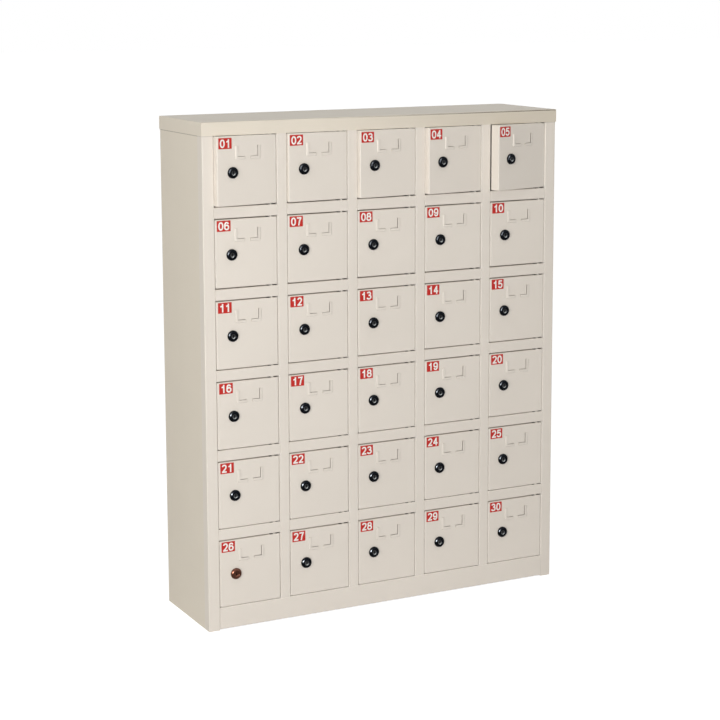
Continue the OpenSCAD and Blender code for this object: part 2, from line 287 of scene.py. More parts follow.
def door_matrix(door):
    """From a door's own frame to the locker's, with the door as far open as it stands at rest."""
    pivot = axis(door + "_hinge")
    ajar = -math.radians(JOINTS[door + "_hinge"]["range_deg"][0])
    turn = Matrix.Translation(pivot) @ Matrix.Rotation(ajar, 4, "Z") @ Matrix.Translation(-pivot)
    return turn @ Matrix.Translation(door_corner(door))


def lock_axis():
    """Where a lock's axis meets the face, in a door's own frame."""
    return axis(TURNING_LOCKS[0] + "_turn") - door_corner(PATTERN_DOOR)


def pin_axis():
    """Where the hinge axis crosses the lower edge, in a door's own frame."""
    pivot = axis(PATTERN_DOOR + "_hinge") - door_corner(PATTERN_DOOR)
    return Vector((pivot.x, pivot.y, 0))


# Mesh helpers


def as_it_is(bm):
    """Turns a bmesh into a mesh."""
    mesh = bpy.data.meshes.new("shape")
    bm.to_mesh(mesh)
    bm.free()
    return mesh


def mesh_from(bm):
    """Turns a bmesh into a mesh without doubles, whose faces point outwards."""
    bmesh.ops.remove_doubles(bm, verts=bm.verts, dist=TINY)
    bmesh.ops.recalc_face_normals(bm, faces=bm.faces)
    return as_it_is(bm)


def shown(name, data):
    """A new object in the scene."""
    thing = bpy.data.objects.new(name, data)
    bpy.context.scene.collection.objects.link(thing)
    return thing


def settled(thing):
    """The mesh of an object with its modifiers applied. The object is removed."""
    graph = bpy.context.evaluated_depsgraph_get()
    mesh = bpy.data.meshes.new_from_object(thing.evaluated_get(graph))
    bpy.data.objects.remove(thing)
    return mesh


def combined(mesh, others, operation="DIFFERENCE"):
    """A mesh cut by, or joined to, other closed meshes."""
    thing = shown("solid", mesh)
    tools = [shown("tool", other) for other in others]
    for tool in tools:
        cut = thing.modifiers.new("cut", "BOOLEAN")
        cut.operation = operation
        cut.solver = "EXACT"
        cut.object = tool
    result = settled(thing)
    for tool in tools:
        bpy.data.objects.remove(tool)
    return result


def modified(mesh, kind, **values):
    """What one modifier makes of a mesh."""
    thing = shown("solid", mesh)
    change = thing.modifiers.new(kind.lower(), kind)
    for key, value in values.items():
        setattr(change, key, value)
    return settled(thing)


def bevelled(mesh, width):
    """A mesh with its sharp edges rounded."""
    sharp = math.radians(40)
    return modified(mesh, "BEVEL", width=width, segments=2, limit_method="ANGLE", angle_limit=sharp)


def shaded(mesh, angle=35):
    """Smooth folds with flat faces between them."""
    mesh.shade_smooth()
    mesh.set_sharp_from_angle(angle=math.radians(angle))
    return modified(mesh, "WEIGHTED_NORMAL", keep_sharp=True)


def joined(*meshes):
    """One mesh from several, with their material numbers kept."""
    bm = bmesh.new()
    for mesh in meshes:
        bm.from_mesh(mesh)
    return as_it_is(bm)


def numbered(mesh, index):
    """Gives all the faces of a mesh one material number."""
    for face in mesh.polygons:
        face.material_index = index
    return mesh


def skinned(bm, rings, closed):
    """Joins each ring of verts to the next with faces. Rings that don't close get a face at both ends."""
    for here, there in zip(rings, rings[1:] + (rings[:1] if closed else [])):
        for k in range(len(here)):
            after = (k + 1) % len(here)
            bm.faces.new((here[k], here[after], there[after], there[k]))
    if not closed:
        bm.faces.new(rings[0])
        bm.faces.new(rings[-1])


def revolved(profile, steps):
    """A closed ring of (radius, y) points turned round the Y axis."""
    bm = bmesh.new()
    rings = []
    for k in range(steps):
        turn = 2 * math.pi * k / steps
        rings.append([bm.verts.new((r * math.cos(turn), y, r * math.sin(turn))) for r, y in profile])
    skinned(bm, rings, True)
    bmesh.ops.remove_doubles(bm, verts=bm.verts, dist=TINY)
    bmesh.ops.dissolve_degenerate(bm, edges=bm.edges, dist=0.1 * TINY)
    return mesh_from(bm)


def block(low, high):
    """A plain box, used only as a cutter."""
    bm = bmesh.new()
    bmesh.ops.create_cube(bm, size=1)
    low, high = Vector(low), Vector(high)
    for vert in bm.verts:
        vert.co = Vector([low[k] + (vert.co[k] + 0.5) * (high[k] - low[k]) for k in range(3)])
    return mesh_from(bm)


def rod(radius, start, end, steps):
    """A plain cylinder from start to end, used only as a cutter."""
    start, end = Vector(start), Vector(end)
    bm = bmesh.new()
    bmesh.ops.create_cone(
        bm, cap_ends=True, segments=steps, radius1=radius, radius2=radius, depth=(end - start).length
    )
    turn = (end - start).to_track_quat("Z", "Y").to_matrix().to_4x4()
    bmesh.ops.transform(bm, matrix=Matrix.Translation((start + end) / 2) @ turn, verts=bm.verts)
    return mesh_from(bm)


def prism(outline, front, back):
    """A solid from an outline of (x, z) points, between two depths."""
    bm = bmesh.new()
    face = bm.faces.new([bm.verts.new((x, front, z)) for x, z in outline])
    for item in bmesh.ops.extrude_face_region(bm, geom=[face])["geom"]:
        if isinstance(item, bmesh.types.BMVert):
            item.co.y = back
    return mesh_from(bm)


def arc(centre, radius, start, end, steps, second=None):
    """Points round an arc, with its angles in degrees. A second radius makes it part of an ellipse."""
    turns = [math.radians(start + (end - start) * k / steps) for k in range(steps + 1)]
    tall = radius if second is None else second
    return [(centre[0] + radius * math.cos(a), centre[1] + tall * math.sin(a)) for a in turns]


def piece(name, mesh, door, finishes, place=(0, 0, 0), body=None):
    """Puts a copy of a mesh with its finishes in place on a door. It rides on the door or on its lock."""
    own = mesh.copy()
    own.name = name
    own.transform(door_matrix(door) @ Matrix.Translation(place))
    for k, finish in enumerate(finishes):
        if k < len(own.materials):
            own.materials[k] = finish
        else:
            own.materials.append(finish)
    thing = shown(name, own)
    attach(thing, body or door)
    return thing


# Nodes


def fill(made, values):
    """Sets a node's settings and inputs. An input that is given a socket, or a list of them, is linked."""
    for key, value in values.items():
        if isinstance(key, str) and hasattr(made, key):
            setattr(made, key, value)
            continue
        socket = made.inputs[key.replace("_", " ") if isinstance(key, str) else key]
        for source in value if isinstance(value, list) else [value]:
            if isinstance(source, bpy.types.NodeSocket):
                made.id_data.links.new(source, socket)
            elif source is not None:
                socket.default_value = source


def node(tree, kind, *inputs, **values):
    """Adds a node in the next free place, with its settings, and its inputs by number or by name."""
    made = tree.nodes.new(kind)
    count = len(tree.nodes)
    made.location = (240 * (count % 12), -320 * (count // 12))
    fill(made, {**values, **dict(enumerate(inputs))})
    return made


def step(tree, operation, *values):
    """One arithmetic step."""
    return node(tree, "ShaderNodeMath", *values, operation=operation).outputs[0]


def product(tree, first, *others):
    """Several values multiplied."""
    for other in others:
        first = step(tree, "MULTIPLY", first, other)
    return first


def ranged(tree, value, low, high, start=0.0, end=1.0):
    """A value carried from one range to another, and kept inside that."""
    return node(tree, "ShaderNodeMapRange", value, low, high, start, end).outputs[0]


def mixed(tree, amount, under, over, blend="MIX"):
    """Two colours mixed. The inputs between the amount and the colours are for other kinds of mix."""
    other_kinds = [None] * 5
    made = node(tree, "ShaderNodeMix", amount, *other_kinds, under, over, data_type="RGBA", blend_type=blend)
    return made.outputs[2]


def noise(tree, place, scale, detail, roughness):
    """A noise that lies in Object coordinates."""
    made = node(tree, "ShaderNodeTexNoise", Vector=place, Scale=scale, Detail=detail, Roughness=roughness)
    return made.outputs["Fac"]


def shader_group(name, inputs):
    """An empty group with named inputs, which puts out a colour, a roughness and a normal."""
    group = bpy.data.node_groups.new(name, "ShaderNodeTree")
    for label, default in inputs.items():
        kind = "NodeSocketFloat" if isinstance(default, float) else "NodeSocketColor"
        group.interface.new_socket(label, in_out="INPUT", socket_type=kind).default_value = default
    for label, kind in (("Colour", "Color"), ("Roughness", "Float"), ("Normal", "Vector")):
        group.interface.new_socket(label, in_out="OUTPUT", socket_type="NodeSocket" + kind)
    return group, group.nodes.new("NodeGroupInput").outputs


# Finishes


def powder_coat_group():
    """Orange peel, faint clouds and dark nibs of a baked powder coat, with painted light and shade in its
    gaps, under its seams, on its folds and at the hinge pins.
    """
    group, given = shader_group("Powder coat", {
        "Colour": (0.7, 0.65, 0.55, 1), "Peel size": 0.0016, "Peel depth": 0.12, "Roughness": 0.42,
        "Flank": (0.9, 0.9, 0.85, 1), "Face plane": -0.1, "Half width": 0.36, "Seam height": -1.0,
        "Seam shade": 0.0, "Fade": 0.0, "Top from": 2.0, "Top to": 3.0, "Hinge": 0.0, "Pitch": 0.14,
        "Hinge shade": 0.0,
    })
    place = node(group, "ShaderNodeTexCoord").outputs
    x, y, z = node(group, "ShaderNodeSeparateXYZ", place["Object"]).outputs
    sideways, _, upwards = node(group, "ShaderNodeSeparateXYZ", place["Normal"]).outputs
    slope = step(group, "ABSOLUTE", upwards)
    behind = step(group, "SUBTRACT", y, given["Face plane"])
    within = step(group, "LESS_THAN", step(group, "ABSOLUTE", x), given["Half width"])

    clouds = noise(group, place["Object"], 5.0, 4.0, 0.6)
    coat = mixed(group, 1.0, given["Colour"], ranged(group, clouds, 0.3, 0.7, 0.975, 1.015), "MULTIPLY")
    nibs = node(group, "ShaderNodeTexVoronoi", Vector=place["Object"], Scale=130.0).outputs["Distance"]
    specks = step(group, "MULTIPLY", ranged(group, nibs, 0.03, 0.07, 1.0, 0.0), 0.10)
    coat = mixed(group, specks, coat, (0.55, 0.50, 0.44, 1), "MULTIPLY")

    # Painted light on the upright walls of the gaps between the doors and the posts, just behind the face
    upright = ranged(group, step(group, "ABSOLUTE", sideways), 0.65, 0.95)
    painted_light = product(group, step(group, "COMPARE", behind, 3.2 * MM, 2.8 * MM), within, upright)
    # The same painted light lies on the level tops of folded edges, from one height to another
    tops = ranged(group, z, given["Top from"], given["Top to"])
    painted_light = step(group, "MAXIMUM", painted_light, product(group, step(group, "GREATER_THAN", upwards, LEVEL), tops))
    coat = mixed(group, painted_light, coat, given["Flank"])

    # A painted shadow line, thin and dark, just under a given height: under the lid's edge on the side panels
    # and stiles, and along the lid's upper front edge. On the lid it grows towards the right
    line = step(group, "COMPARE", step(group, "SUBTRACT", given["Seam height"], z), 0.6 * MM, 0.7 * MM)
    steep = step(group, "LESS_THAN", slope, LEVEL)
    rightward = ranged(group, x, -0.15, 0.25)
    growth = step(group, "MULTIPLY_ADD", given["Fade"], step(group, "SUBTRACT", rightward, 1.0), 1.0)
    seam_shadow = product(group, line, steep, given["Seam shade"], growth)
    coat = mixed(group, seam_shadow, coat, (0.16, 0.13, 0.10, 1))

    # Painted shade beside each hinge pin, on the level sides of the gap, and painted light at the pin itself
    turns = step(group, "DIVIDE", step(group, "SUBTRACT", x, given["Hinge"]), given["Pitch"])
    near = step(group, "SUBTRACT", step(group, "FRACT", step(group, "ADD", turns, 0.5)), 0.5)
    clear = step(group, "GREATER_THAN", step(group, "ABSOLUTE", near), 0.02)
    flat = step(group, "GREATER_THAN", slope, LEVEL)
    gap = product(group, flat, step(group, "GREATER_THAN", behind, 1.2 * MM), given["Hinge shade"])
    pin_shade = product(group, clear, step(group, "COMPARE", near, 0.0105, 0.0745), gap)
    coat = mixed(group, pin_shade, coat, (0.06, 0.05, 0.04, 1))
    coat = mixed(group, product(group, step(group, "SUBTRACT", 1.0, clear), gap), coat, given["Flank"])

    # Painted light falloff: the lid's front grows a little darker towards the right
    painted_falloff = product(group, steep, given["Fade"], rightward)
    coat = mixed(group, painted_falloff, coat, (0.87, 0.86, 0.84, 1), "MULTIPLY")
    # Painted shade on the upright folds at the left edge of doors, posts and stiles, which dims their
    # highlight
    turned = step(group, "COMPARE", sideways, -0.52, 0.34)
    fold = product(group, turned, step(group, "COMPARE", behind, 0.5 * MM, 1.6 * MM), within)
    coat = mixed(group, fold, coat, (0.86, 0.86, 0.86, 1), "MULTIPLY")

    peel = noise(group, place["Object"], step(group, "DIVIDE", 1.0, given["Peel size"]), 2.0, 0.45)
    rough = step(group, "ADD", given["Roughness"], ranged(group, peel, 0.3, 0.7, -0.05, 0.06))
    sheet = noise(group, place["Object"], 9.0, 1.0, 0.4)
    wave = node(group, "ShaderNodeBump", Strength=0.35, Distance=1.2 * MM, Height=sheet).outputs[0]
    depth = given["Peel depth"]
    bump = node(group, "ShaderNodeBump", Strength=depth, Distance=0.3 * MM, Height=peel, Normal=wave)
    node(group, "NodeGroupOutput", Colour=coat, Roughness=rough, Normal=bump.outputs[0])
    return group


def worn_metal_group():
    """Fine turning marks, smudges and pits of small plated parts."""
    inputs = {"Colour": (0.5, 0.5, 0.5, 1), "Roughness": 0.3, "Smudge": 0.1, "Grain": 0.1}
    group, given = shader_group("Worn metal", inputs)
    place = node(group, "ShaderNodeTexCoord").outputs["Object"]
    smudge = noise(group, place, 240.0, 4.0, 0.6)
    spread = ranged(group, smudge, 0.3, 0.7, -0.5, 0.5)
    rough = step(group, "MULTIPLY_ADD", spread, given["Smudge"], given["Roughness"])
    dull = ranged(group, smudge, 0.35, 0.75, 1.0, 0.82)
    tinted = mixed(group, 1.0, given["Colour"], dull, "MULTIPLY")
    fine = noise(group, place, 2600.0, 2.0, 0.5)
    bump = node(group, "ShaderNodeBump", Strength=given["Grain"], Distance=0.1 * MM, Height=fine)
    node(group, "NodeGroupOutput", Colour=tinted, Roughness=rough, Normal=bump.outputs[0])
    return group


def new_material(name, label, make_group, shine, **values):
    """A Principled material with its own constants. Its colour, roughness and normal come from a group."""
    if name in bpy.data.materials:
        return bpy.data.materials[name]
    material = bpy.data.materials.new(name)
    material.use_nodes = True
    tree = material.node_tree
    group = bpy.data.node_groups.get(label) or make_group()
    effect = node(tree, "ShaderNodeGroup", node_tree=group, **values).outputs
    linked = {"Base Color": effect["Colour"], "Roughness": effect["Roughness"], "Normal": effect["Normal"]}
    fill(tree.nodes["Principled BSDF"], {**shine, **linked})
    return material


def coated(name):
    """One of the powder coats and prints. Its painted light and shade are inputs: shadow lines under seams,
    painted light on tops, darkening towards the right and painted shade and light at the hinge pins.
    """
    look = finish_settings()
    hinge, following = axis("door_06_hinge"), axis("door_07_hinge")
    lid_low, lid_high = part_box("top_cap")
    red, green, blue = look.cream
    # Lid and side panels get a copy of the coat with a little less blue, painted in for the warmer light on
    # the top and the left side
    warm = (red, 0.99 * green, 0.94 * blue)
    # Painted light on the level tops of the rails, growing towards the floor
    rails = {"Top_from": 0.5, "Top_to": 0.1}
    tint, marks = {
        "cream_coat": (look.cream, {}),
        "lid_coat": (warm, {"Seam_shade": 1.0, "Seam_height": lid_high.z - 0.7 * MM, "Fade": 1.0}),
        "side_coat": (warm, {"Seam_shade": 0.6, "Seam_height": lid_low.z}),
        "stile_coat": (look.cream, {"Seam_shade": 0.25, "Seam_height": lid_low.z}),
        "base_coat": (look.cream, rails),
        "rail_coat": (look.cream, {**rails, "Hinge_shade": look.pin_shade}),
        # Painted light on the tops of the doors that stand ajar
        "door_coat": (look.cream, {"Top_from": 0.80, "Top_to": 0.85, "Hinge_shade": look.pin_shade}),
        "inside_coat": (look.inside, {"Flank": (*look.inside, 1), "Roughness": 0.5, "Peel_depth": 0.2}),
        "plate_red": (look.red, {"Flank": (*look.red, 1), "Roughness": 0.35, "Peel_depth": 0.03}),
        "digit_white": (look.white, {"Flank": (*look.white, 1), "Roughness": 0.38, "Peel_depth": 0.03}),
    }[name]
    values = {
        "Colour": (*tint, 1), "Flank": (*look.painted_light, 1), "Roughness": look.coat_roughness,
        "Peel_size": look.peel_size, "Peel_depth": look.peel_depth,
        "Face_plane": hinge.y - door_settings().pin_back, "Half_width": cad_high.x - 2 * MM,
        "Hinge": hinge.x, "Pitch": following.x - hinge.x, **marks,
    }
    shine = {"Specular IOR Level": 0.25 if name == "plate_red" else 0.42}
    return new_material(name, "Powder coat", powder_coat_group, shine, **values)


def times(tint, factor):
    """A lighter or darker tint."""
    return [min(1.0, factor * part) for part in tint]


def metal(name):
    """One of the plated metals, with painted highlights on the heads and plugs of the locks."""
    look = finish_settings()
    tint, roughness, smudge, grain, coat = {
        "pin_steel": (look.pin, 0.3, 0.06, 0.05, 0.0),
        "zinc_plate": (look.zinc, 0.34, 0.16, 0.15, 0.0),
        "keyhole_shadow": ((0.01, 0.01, 0.01), 0.7, 0.1, 0.08, 0.0),
        "lock_nickel": (look.nickel, 0.16, 0.06, 0.03, 0.08),
        "lock_bronze": (look.bronze, 0.22, 0.1, 0.08, 0.1),
        "plug_nickel": (times(look.plug, 0.16), 0.24, 0.1, 0.08, 0.0),
        "plug_bronze": (look.bronze, 0.3, 0.1, 0.08, 0.0),
    }[name]
    shine = {"Metallic": 1.0, "Coat Weight": coat, "Coat Roughness": 0.08}
    values = {"Colour": (*tint, 1), "Roughness": roughness, "Smudge": smudge, "Grain": grain}
    material = new_material(name, "Worn metal", worn_metal_group, shine, **values)
    # Painted highlights: the colour painted in and the share taken off Metallic there
    bare = {
        "lock_nickel": ((0.34, 0.37, 0.41), 0.0), "lock_bronze": (times(look.bronze, 3.0), 0.0),
        "plug_nickel": (times(look.plug, 1.7), 0.85), "plug_bronze": (times(look.bronze, 3.4), 0.7),
    }
    if name in bare and "rubbed" not in material.node_tree.nodes:
        mix_painted_highlight(material, *bare[name])
    return material


def mix_painted_highlight(material, bright, dull):
    """Paints highlights: a brighter colour, with a share taken off Metallic, where the painted highlight
    attribute marks them.
    """
    tree = material.node_tree
    shader = tree.nodes["Principled BSDF"]
    mark = node(tree, "ShaderNodeAttribute", name="rubbed", attribute_name="worn").outputs["Fac"]
    plated = shader.inputs["Base Color"].links[0].from_socket
    left = step(tree, "MULTIPLY_ADD", mark, -dull, 1.0)
    fill(shader, {"Base Color": mixed(tree, mark, plated, (*bright, 1)), "Metallic": left})


# Doors


def folded_shell(s):
    """The door's sheet, folded back on four sides."""
    width, height = door_size()
    size = Vector((width + 2 * s.coat_build, s.depth, height))
    bm = bmesh.new()
    bmesh.ops.create_cube(bm, size=1)
    for vert in bm.verts:
        vert.co = (vert.co + Vector((0.5, 0.5, 0.5))) * size
        vert.co.x -= s.coat_build
    bm.normal_update()
    bmesh.ops.delete(bm, geom=[face for face in bm.faces if face.normal.y > 0.9], context="FACES_ONLY")
    edges = [edge for edge in bm.edges if not edge.is_boundary]
    bmesh.ops.bevel(bm, geom=edges, offset=s.fold, segments=5, profile=0.5, affect="EDGES")
    return modified(as_it_is(bm), "SOLIDIFY", thickness=s.sheet, offset=-1.0, use_even_offset=True)


def lip_path(s):
    """Pairs of outer and inner (x, z) points along the left lip, from its upper end to its foot's end."""
    _, height = door_size()
    top = height - s.holder_drop
    bottom = top - s.holder_height
    left, inner = s.holder_left, s.holder_left + s.lip_width
    bend = (inner, bottom + s.lip_width)
    corner = arc((left + s.lip_corner, bottom + s.lip_corner), s.lip_corner, 180, 270, 6)
    pairs = [((left, top), (inner, top)), ((left, bottom + s.lip_width), bend)]
    pairs += [(point, bend) for point in corner]
    pairs += [((inner, bottom), bend)]
    pairs += [((left + s.lip_foot, bottom), (left + s.lip_foot, bottom + s.lip_width))]
    return pairs


def lip_section(s):
    """The lip's section as (share of its width, height off the door): pressed bend and free inner edge."""
    rise, bend = s.lip_rise, s.lip_bend / s.lip_width
    ease = [(bend * k / 5, rise * (k / 5) ** 2 * (3 - 2 * k / 5)) for k in range(6)]
    under = rise - s.lip_thickness
    sunk = -0.4 * s.sheet
    edge, soft = 0.04, 0.15 * s.lip_thickness
    return (
        [(0.0, sunk)] + ease
        + [(1.0 - edge, rise), (1.0, rise - soft), (1.0, under + soft), (1.0 - edge, under)]
        + [(bend + 0.1, under), (bend - 0.1, sunk)]
    )


def mirrored(point, s):
    """The same point on the right lip."""
    return (2 * s.holder_left + s.holder_width - point[0], point[1])


def lip(s, right):
    """One pressed lip of the card holder."""
    bm = bmesh.new()
    rings = []
    for outer, inner in lip_path(s):
        if right:
            outer, inner = mirrored(outer, s), mirrored(inner, s)
        (x, z), (far_x, far_z) = outer, inner
        rings.append([
            bm.verts.new((x + (far_x - x) * across, -rise, z + (far_z - z) * across))
            for across, rise in lip_section(s)
        ])
    skinned(bm, rings, False)
    return mesh_from(bm)


def lip_slot(s, right):
    """The sheared opening under a lip, as a cutter."""
    _, height = door_size()
    top = height - s.holder_drop
    bottom = top - s.holder_height
    near, far = 0.45 * s.lip_width, s.lip_width + 0.5 * MM
    left, end = s.holder_left, s.holder_left + s.lip_foot
    outline = [
        (left + near, top), (left + near, bottom + near), (end, bottom + near),
        (end, bottom + far), (left + far, bottom + far), (left + far, top),
    ]
    if right:
        outline = [mirrored(point, s) for point in outline]
    return prism(outline, -s.sheet, 2 * s.sheet)


def door_panel_mesh():
    """The folded door with its lock hole, pin holes and card holder."""
    s, k = door_settings(), lock_settings()
    _, height = door_size()
    lock, pin = lock_axis(), pin_axis()
    back, up = Vector((0, 2 * s.sheet, 0)), Vector((0, 0, 2 * s.sheet))
    cutters = [rod(k.barrel_radius + 0.2 * MM, lock - back, lock + back, 48)]
    for end in (pin, pin + Vector((0, 0, height))):
        cutters.append(rod(s.pin_radius + k.plug_play, end - up, end + up, 24))
    sides = (False, True)
    mesh = combined(folded_shell(s), cutters + [lip_slot(s, right) for right in sides])
    return shaded(combined(mesh, [lip(s, right) for right in sides], "UNION"))


def hung(mesh, row):
    """A copy of the door for one row. The gap over the top row and those under the low rows are narrower."""
    s = door_settings()
    _, height = door_size()
    head = s.head_build if row == 0 else 0.0
    foot = s.foot_build * (row + 1) / ROWS if row > 1 else 0.0
    fold = 3 * MM
    own = mesh.copy()
    for vert in own.vertices:
        if vert.co.z < fold:
            vert.co.z -= foot
        elif vert.co.z > height - fold:
            vert.co.z += head
    return own


class LOCKER_OT_door_panels(bpy.types.Operator):
    """Makes the thirty folded doors with their pressed card holders"""

    bl_idname = "locker.door_panels"
    bl_label = "Door panels"

    def execute(self, context):
        mesh = door_panel_mesh()
        rows = [hung(mesh, row) for row in range(ROWS)]
        for place, door in enumerate(DOORS):
            panel = piece(door + "_panel", rows[place * ROWS // len(DOORS)], door, [coated("door_coat")])
            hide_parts(door)
        return {"FINISHED"}


# Hinge pins, made by one tree for every door


def geometry_tree(name, **inputs):
    """An empty tree with the named inputs, given as their kinds, and one for its material."""
    tree = bpy.data.node_groups.new(name, "GeometryNodeTree")
    for label, kind in (("Geometry", "Geometry"), *inputs.items(), ("Material", "Material")):
        tree.interface.new_socket(label.replace("_", " "), in_out="INPUT", socket_type="NodeSocket" + kind)
    tree.interface.new_socket("Geometry", in_out="OUTPUT", socket_type="NodeSocketGeometry")
    return tree, tree.nodes.new("NodeGroupInput").outputs


def finish_tree(tree, given, shape):
    """Ends a tree in real geometry with its material set."""
    real = node(tree, "GeometryNodeRealizeInstances", shape).outputs[0]
    dressed = node(tree, "GeometryNodeSetMaterial", real, Material=given["Material"]).outputs[0]
    node(tree, "NodeGroupOutput", dressed)
    return tree


def grown(tree, values):
    """The plain mesh that a geometry tree gives for these values."""
    thing = shown("maker", bpy.data.meshes.new("shape"))
    maker = thing.modifiers.new("maker", "NODES")
    maker.node_group = tree
    for item in tree.interface.items_tree:
        if item.in_out == "INPUT" and item.name in values:
            maker[item.identifier] = values[item.name]
    return settled(thing)


def put(tree, shape, **place):
    """Geometry that is moved or turned."""
    return node(tree, "GeometryNodeTransform", Geometry=shape, **place).outputs[0]


def raised(tree, height):
    """A place straight above the origin."""
    return node(tree, "ShaderNodeCombineXYZ", Z=height).outputs[0]


def pin_pair_tree():
    """Two pins with collars, one at the foot of a door and one at its head."""
    tree, given = geometry_tree(
        "Hinge pin pair", Axis="Vector", Height="Float", Radius="Float", Reach="Float", Sheet="Float",
        Collar_radius="Float", Collar_height="Float",
    )
    collar = given["Collar height"]
    shank = step(tree, "ADD", step(tree, "ADD", given["Reach"], given["Sheet"]), collar)
    inside = step(tree, "ADD", given["Sheet"], collar)
    middle = step(tree, "ADD", step(tree, "MULTIPLY", shank, -0.5), inside)
    seat = step(tree, "MULTIPLY_ADD", collar, 0.5, given["Sheet"])
    solids = []
    for radius, depth, rise in ((given["Radius"], shank, middle), (given["Collar radius"], collar, seat)):
        solid = node(tree, "GeometryNodeMeshCylinder", Vertices=24, Radius=radius, Depth=depth)
        solids.append(put(tree, solid.outputs["Mesh"], Translation=raised(tree, rise)))
    one = node(tree, "GeometryNodeJoinGeometry", solids).outputs[0]
    turned = put(tree, one, Rotation=(math.pi, 0, 0), Translation=raised(tree, given["Height"]))
    both = node(tree, "GeometryNodeJoinGeometry", [one, turned]).outputs[0]
    return finish_tree(tree, given, put(tree, both, Translation=given["Axis"]))


class LOCKER_OT_hinge_pins(bpy.types.Operator):
    """Makes the two hinge pins of each door"""

    bl_idname = "locker.hinge_pins"
    bl_label = "Hinge pins"

    def execute(self, context):
        s = door_settings()
        _, height = door_size()
        values = {
            "Axis": pin_axis(), "Height": height, "Radius": s.pin_radius, "Reach": s.pin_reach,
            "Sheet": s.sheet, "Collar radius": s.collar_radius, "Collar height": s.collar_height,
            "Material": metal("pin_steel"),
        }
        pair = shaded(bevelled(grown(pin_pair_tree(), values), 0.25 * MM))
        for door in DOORS:
            piece(door + "_hinge_pins", pair, door, [metal("pin_steel")])
        return {"FINISHED"}


# Number plates


def bow(across, up, wide, tall, start, end):
    """Points round a slightly squared ellipse, in shares of a digit's size, with angles in degrees."""
    unit = arc((0, 0), 1, start, end, max(4, round(abs(end - start) / 15)))
    squarer = [[math.copysign(abs(part) ** 0.88, part) for part in point] for point in unit]
    return [(across + wide * x, up + tall * z) for x, z in squarer]


# Middle lines of each digit's strokes. The shares run from 0 to 1 between the middles of its outer strokes,
# and a closed stroke ends where it starts
STROKES = {
    "0": [bow(0.5, 0.5, 0.5, 0.5, 0, 360)],
    "1": [[(0.66, -0.11), (0.66, 1.11)], [(0.66, 0.93), (0.48, 0.80), (0.08, 0.70)]],
    "2": [bow(0.48, 0.73, 0.48, 0.27, 172, -25) + [(0.74, 0.44), (0.10, 0.04)], [(-0.14, 0.0), (1.12, 0.0)]],
    "3": [bow(0.46, 0.765, 0.44, 0.235, 165, -75) + [(0.36, 0.54)],
          [(0.36, 0.54)] + bow(0.46, 0.27, 0.54, 0.27, 75, -165)],
    "4": [[(0.74, -0.11), (0.74, 1.11)], [(0.74, 1.02), (0.0, 0.30)], [(-0.12, 0.27), (1.2, 0.27)]],
    "5": [[(1.05, 1.0), (0.06, 1.0)], [(0.18, 1.08), (0.10, 0.47)],
          [(0.06, 0.52)] + bow(0.48, 0.32, 0.52, 0.32, 130, -165)],
    "6": [bow(0.5, 0.30, 0.5, 0.30, 0, 360), bow(0.5, 0.5, 0.5, 0.5, 30, 180) + [(0.0, 0.30)]],
    "7": [[(-0.14, 1.0), (1.14, 1.0)], [(0.98, 1.0), (0.62, 0.55), (0.40, -0.11)]],
    "8": [bow(0.5, 0.765, 0.44, 0.235, 0, 360), bow(0.5, 0.27, 0.52, 0.27, 0, 360)],
    "9": [bow(0.5, 0.70, 0.5, 0.30, 0, 360), bow(0.5, 0.5, 0.5, 0.5, 210, 360) + [(1.0, 0.70)]],
}


def stroke_solid(points, width, front, back):
    """A flat closed strip of this width along a line of (x, z) points."""
    closed = math.dist(points[0], points[-1]) < TINY
    points = [Vector(point) for point in (points[:-1] if closed else points)]
    last = len(points) - 1
    bm = bmesh.new()
    ribs = []
    for k, point in enumerate(points):
        before = points[k - 1] if k or closed else point
        after = points[(k + 1) % len(points)] if k < last or closed else point
        first, second = (point - before), (after - point)
        first = first.normalized() if first.length else second.normalized()
        second = second.normalized() if second.length else first
        side = (first + second).normalized()
        side = Vector((-side.y, side.x)) * width / 2 / max(0.6, side.dot(second))
        corners = ((point + side, front), (point - side, front), (point - side, back), (point + side, back))
        ribs.append([bm.verts.new((spot.x, depth, spot.y)) for spot, depth in corners])
    skinned(bm, ribs, closed)
    return mesh_from(bm)


def digits_mesh(text, s):
    """Two bold digits, with the middle of the pair at the origin, standing out from y = 0 to the front."""
    wide, tall = s.digit_width - s.stroke, s.digit_height - s.stroke
    pitch = s.digit_width + s.digit_space
    meshes = []
    for k, digit in enumerate(text):
        left = (k - (len(text) - 1) / 2) * pitch - wide / 2
        for n, line in enumerate(STROKES[digit]):
            points = [(left + x * wide, z * tall - tall / 2) for x, z in line]
            # Strokes of one digit overlap, so each is a little lower than the one before
            front = -s.digits_rise * (1 - 0.12 * n)
            meshes.append(stroke_solid(points, s.stroke, front, 0))
    return joined(*meshes)


def plate_mesh(s):
    """The plate alone, facing the front, with its middle at the origin and its back at y = 0."""
    x, z = s.width / 2 - s.corner, s.height / 2 - s.corner
    outline = []
    for centre, start in (((-x, -z), 180), ((x, -z), 270), ((x, z), 0), ((-x, z), 90)):
        outline += arc(centre, s.corner, start, start + 90, 4)
    return shaded(bevelled(prism(outline, -s.thickness, 0), 0.12 * MM))


class LOCKER_OT_number_plates(bpy.types.Operator):
    """Makes the thirty red plates with their white numbers"""

    bl_idname = "locker.number_plates"
    bl_label = "Number plates"

    def execute(self, context):
        s = context.scene.locker_plate
        _, height = door_size()
        middle = Vector((s.left + s.width / 2, 0, height - s.drop - s.height / 2))
        bare = plate_mesh(s)
        for door in DOORS:
            digits = digits_mesh(door[-2:], s)
            digits.transform(Matrix.Translation((0, -s.thickness, 0)))
            mesh = joined(numbered(bare.copy(), 0), numbered(digits, 1))
            piece(door + "_number_plate", mesh, door, [coated("plate_red"), coated("digit_white")], middle)
        return {"FINISHED"}


# Locks, drawn round their own axis, which runs back along +Y from the door's face


def plating(door):
    """Dark nickel, or bronze on the one odd lock."""
    return "bronze" if door == BRONZE_DOOR else "nickel"


